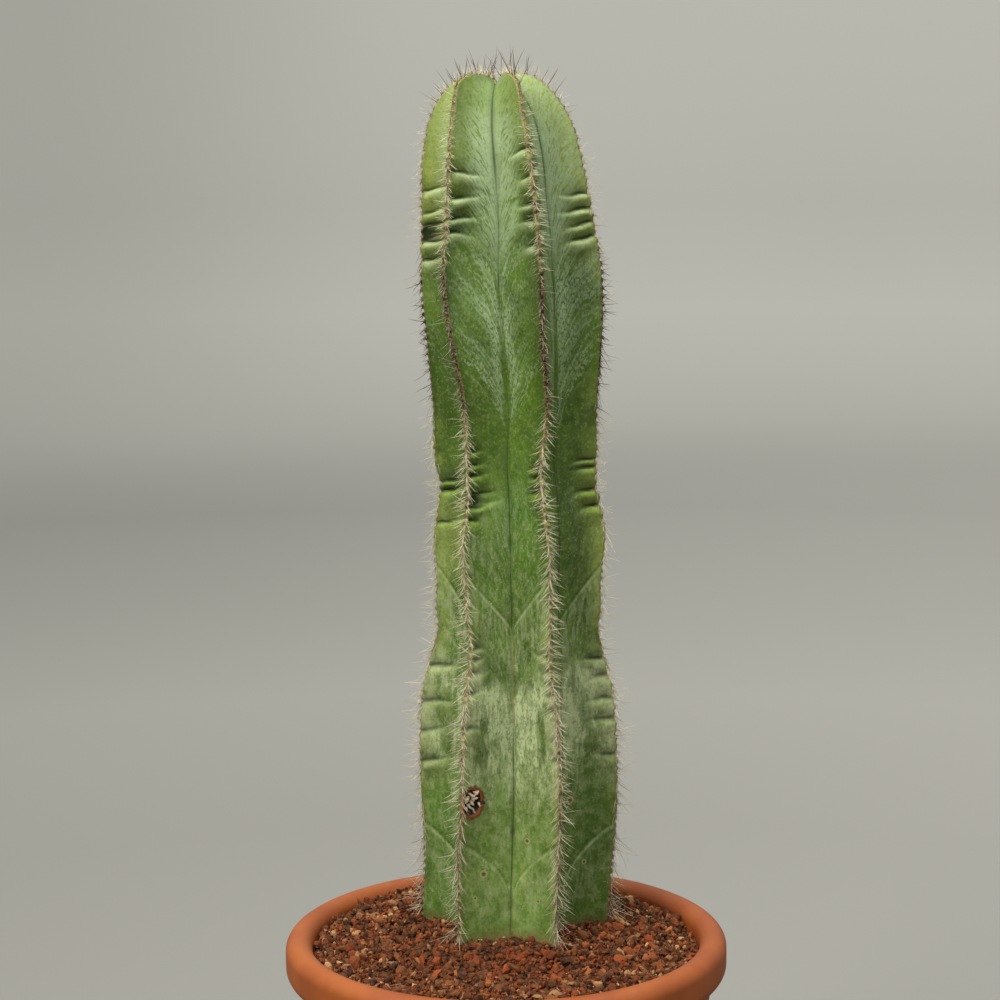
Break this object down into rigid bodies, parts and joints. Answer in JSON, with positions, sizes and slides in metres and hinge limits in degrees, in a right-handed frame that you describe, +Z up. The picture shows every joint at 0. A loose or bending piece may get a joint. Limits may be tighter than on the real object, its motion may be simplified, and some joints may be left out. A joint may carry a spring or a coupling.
{
  "type": "potted stenocereus dumortieri",
  "caption": "Tall columnar cactus with deep, spiny, gently waisted ribs, standing in red lava grit in a round tapered clay pot with a thick rounded rim.",
  "frame": {"origin": "middle of the pot's underside, on the surface it stands on", "axes": "+Z up along the stem, -Y towards the viewer of the picture, +X to the picture's right"},
  "size_m": [0.28, 0.28, 0.7973],
  "materials": {
    "clay": "satin",
    "lava_grit": "matte",
    "skin": "satin",
    "spines": "matte"
  },
  "bodies": {
    "root": {"pot": "clay", "substrate": "lava_grit", "stem": "skin", "areoles_left": "spines", "areoles_front_left": "spines", "areoles_front_right": "spines", "areoles_right": "spines", "areoles_back_right": "spines", "areoles_back_left": "spines"}
  },
  "joints": []
}
